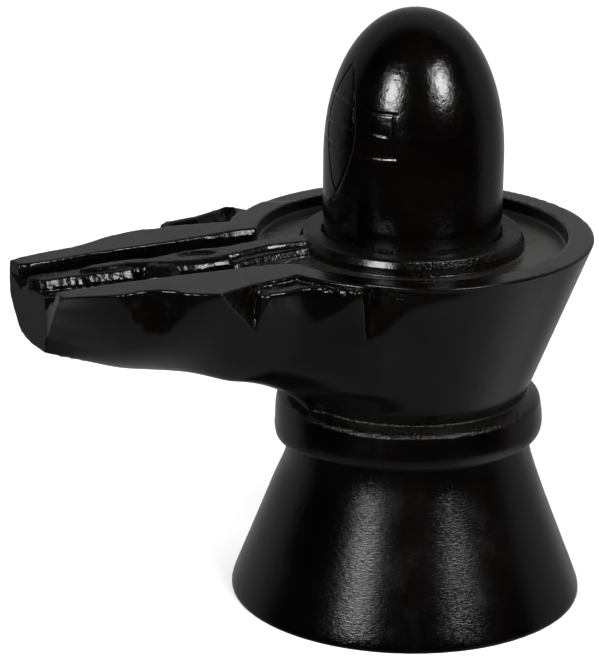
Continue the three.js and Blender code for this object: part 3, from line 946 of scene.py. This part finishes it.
class StoneGraph(Graph):
    """The stone's nodes: its places, in metres, and the patterns that its looks share."""

    def __init__(self, tree):
        super().__init__(tree)
        self.place = self.node("ShaderNodeTexCoord").outputs["Object"]
        self.x, self.y, self.z = self.node("ShaderNodeSeparateXYZ", {0: self.place}).outputs
        squares = self.plus(self.times(self.x, self.x), self.times(self.y, self.y))
        self.across = self.maths("SQRT", squares)
        self.chisel = self.node("ShaderNodeAttribute", attribute_name="chisel").outputs["Fac"]
        self.cloud = self.noise(self.place, 28, 4, 0.55)
        self.fine = self.noise(self.place, 1500, 3, 0.6)
        self.grit = self.noise(self.place, 900, 2, 0.7)

    def colour(self):
        """Mottled black, with dust in the chisel's marks and a paler grey on the ring channel's floor."""
        colour = self.mix(self.ramp(self.cloud, 0.35, 0.7), STONE_DARK, STONE_PALE)
        dusty = self.times(self.chisel, self.ramp(self.grit, 0.5, 0.7))
        colour = self.mix(dusty, colour, STONE_DUST)
        floor, rim, disc_edge = RING_FLOOR_Z * MM, RIM_INNER_RADIUS * MM, DISC_RADIUS * MM
        # A paler grey on the ring channel's floor, fading out at its edges and patchy with the mottling.
        ring_floor_grey = self.times(
            self.ramp(self.z, floor + 0.0011, floor + 0.0005),
            self.ramp(self.z, floor - 0.0022, floor - 0.0012),
            self.ramp(self.across, rim + 0.0006, rim - 0.0014),
            self.ramp(self.across, disc_edge + 0.0005, disc_edge + 0.0025),
            self.ramp(self.cloud, 0.2, 0.6, 0.5, 1.0),
        )
        return self.mix(ring_floor_grey, colour, STONE_RING_FLOOR_GREY)

    def roughness(self, least):
        """Uneven polish, worn in patches and matt on the disc's top."""
        worn = self.noise(self.place, 60, 3, 0.6)
        top, disc_edge = DISC_Z * MM, DISC_RADIUS * MM
        matt = self.times(
            self.ramp(self.z, top - 0.0008, top - 0.0003),
            self.ramp(self.z, top + 0.0007, top + 0.0002),
            self.ramp(self.across, disc_edge + 0.0005, disc_edge - 0.0005, 0.0, 0.22),
        )
        return self.plus(
            self.ramp(self.cloud, 0.3, 0.7, least - 0.02, least + 0.03),
            self.ramp(self.fine, 0.45, 0.75, 0.0, 0.06),
            self.ramp(worn, 0.5, 0.72, 0.0, 0.1),
            matt,
        )

    def relief(self, leather):
        """A leathery ripple, fine turned lines that show most on the foot, grain and chisel marks."""
        peel = self.noise(self.place, 420, 2, 0.5)
        turn = self.times(self.maths("ARCTAN2", self.y, self.x), 0.012)
        rows = self.node("ShaderNodeCombineXYZ", {0: turn, 1: self.z}).outputs[0]
        lines = self.noise(rows, 2600, 2, 0.6)
        foot = self.ramp(self.z, 0.075, 0.06)
        normal = self.bump(peel, 0.00012, leather)
        normal = self.bump(lines, 0.00009, self.plus(self.times(foot, 0.8), 0.2), normal)
        normal = self.bump(self.fine, 0.00003, 1.0, normal)
        return self.bump(self.grit, 0.0002, self.chisel, normal)


def stone_material(name, roughness, leather):
    """Oiled black stone, sanded by hand, with its least roughness and its ripple's strength."""
    material = bpy.data.materials.new(name)
    material.use_nodes = True
    shader = material.node_tree.nodes["Principled BSDF"]
    g = StoneGraph(material.node_tree)
    g.join(g.colour(), shader.inputs["Base Color"])
    g.join(g.roughness(roughness), shader.inputs["Roughness"])
    g.join(g.relief(leather), shader.inputs["Normal"])
    g.join(STONE_IOR, shader.inputs["IOR"])
    return material


def floor_material():
    material = bpy.data.materials.new("pale_floor")
    material.use_nodes = True
    shader = material.node_tree.nodes["Principled BSDF"]
    shader.inputs["Base Color"].default_value = FLOOR_COLOUR
    shader.inputs["Roughness"].default_value = 0.9
    return material


# ------------------------------------------------------------- stage

FLOOR_HALF = 4000.0
VIEW_AZIMUTH = 65.0  # of the camera

# Each softbox: azimuth, elevation, width and height in degrees, and radiance. A
# wide dim one behind a narrow bright one softens the edge of the highlight. They
# stand round a point on the axis, in metres.
SOFTBOXES = (
    (31, 27.5, 15, 20, 16.5), (31, 29.0, 27, 22, 5.0),
    (108, 33, 15, 20, 17.0), (108, 35, 28, 23, 4.5),
)
SOFTBOX_DISTANCE = 1.2
SOFTBOX_AIM = (0, 0, 0.12)

LIGHT_LEVEL = 0.95  # of the surroundings on matt stone
BACKDROP_LEVEL = 1.0  # as the camera sees them
ROOM_LEVEL = 0.004  # the least that a reflection shows

# The photograph's camera, in metres, degrees and pixels.
CAMERA_AT = (0.5010, 1.0725, 0.5089)
CAMERA_TO = (0.03876, -0.01645, 0.10363)
CAMERA_ROLL = 0.57
FOCAL_PIXELS = 3276.3
IMAGE_HEIGHT = 662
SENSOR_WIDTH = 36.0
VIEW_GAMMA = 0.8


def make_stage():
    corners = FLOOR_HALF * np.array([(-1, -1, 0), (1, -1, 0), (1, 1, 0), (-1, 1, 0)])
    floor = mesh_object("floor", corners, [(0, 1, 2, 3)])
    floor.data.materials.append(floor_material())
    floor.visible_glossy = False


def make_world():
    """Studio surroundings: white to the eye and for soft light, and darker in reflections."""
    world = bpy.data.worlds.new("studio")
    world.use_nodes = True
    g = Graph(world.node_tree)
    background = g.tree.nodes["Background"]
    direction = g.node("ShaderNodeTexCoord").outputs["Generated"]

    def towards(azimuth):
        """How far the direction points to an azimuth, from -1 to 1."""
        turn = math.radians(azimuth)
        inputs = {0: direction, 1: (math.cos(turn), math.sin(turn), 0)}
        return g.node("ShaderNodeVectorMath", inputs, operation="DOT_PRODUCT").outputs["Value"]

    front, right = towards(VIEW_AZIMUTH), towards(VIEW_AZIMUTH + 90)
    up = g.node("ShaderNodeSeparateXYZ", {0: direction}).outputs[2]
    ahead = g.maths("SUBTRACT", front, g.times(g.maths("MAXIMUM", right, 0.0), 0.15))
    wall = g.times(
        g.ramp(ahead, 0.0, -0.4),
        g.ramp(right, -0.95, 0.3, 0.4, 0.51),
        g.ramp(right, 0.4, 0.8, 1.0, 0.7),
        g.ramp(up, -0.75, -0.15, 0.8, 1.0),
    )
    table_top = g.plus(g.ramp(right, -0.1, 0.5, 0.34, 0.45), g.ramp(right, 0.5, 0.85, 0.0, 0.8))
    table_top = g.times(g.ramp(up, -0.26, -0.74), table_top)
    reflected = g.plus(g.maths("MAXIMUM", wall, table_top), ROOM_LEVEL)
    path = g.node("ShaderNodeLightPath").outputs
    level = g.blend(path["Is Glossy Ray"], LIGHT_LEVEL, reflected)
    level = g.blend(path["Is Camera Ray"], level, BACKDROP_LEVEL)
    g.join(level, background.inputs["Strength"])
    background.inputs["Color"].default_value = (1, 1, 1, 1)
    bpy.context.scene.world = world


def softbox(name, azimuth, elevation, width, height, radiance):
    a, e = math.radians(azimuth), math.radians(elevation)
    aim = Vector((math.cos(a) * math.cos(e), math.sin(a) * math.cos(e), math.sin(e)))
    data = bpy.data.lights.new(name, "AREA")
    data.shape = "RECTANGLE"
    data.size = 2 * SOFTBOX_DISTANCE * math.tan(math.radians(width / 2))
    data.size_y = 2 * SOFTBOX_DISTANCE * math.tan(math.radians(height / 2))
    data.energy = radiance * math.pi * data.size * data.size_y
    light = bpy.data.objects.new(name, data)
    light.location = Vector(SOFTBOX_AIM) + aim * SOFTBOX_DISTANCE
    light.rotation_euler = aim.to_track_quat("Z", "Y").to_euler()
    bpy.context.scene.collection.objects.link(light)


def make_camera():
    data = bpy.data.cameras.new("camera")
    data.sensor_width = SENSOR_WIDTH
    data.lens = FOCAL_PIXELS * data.sensor_width / IMAGE_HEIGHT
    camera = bpy.data.objects.new("camera", data)
    bpy.context.scene.collection.objects.link(camera)
    at, to = Vector(CAMERA_AT), Vector(CAMERA_TO)
    turn = (to - at).to_track_quat("-Z", "Y").to_matrix().to_4x4()
    roll = Matrix.Rotation(math.radians(CAMERA_ROLL), 4, "Z")
    camera.matrix_world = Matrix.Translation(at) @ turn @ roll
    bpy.context.scene.camera = camera
    bpy.context.scene.view_settings.view_transform = "Standard"
    bpy.context.scene.view_settings.gamma = VIEW_GAMMA


make_camera()
make_stage()
make_world()
for number, box in enumerate(SOFTBOXES):
    softbox(f"softbox_{number}", *box)
base = make_base()
lingam = make_lingam()

# Each piece with its CAD node, its material's name, the stone's least roughness
# and the strength of its ripple.
pieces = ((base, "yoni_base", "base_stone", 0.17, 0.5), (lingam, "lingam", "lingam_stone", 0.13, 1.0))
for piece, node, slot_name, roughness, leather in pieces:
    piece.data.materials.append(stone_material(slot_name, roughness, leather))
    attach(piece, "root")
    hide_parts(node)
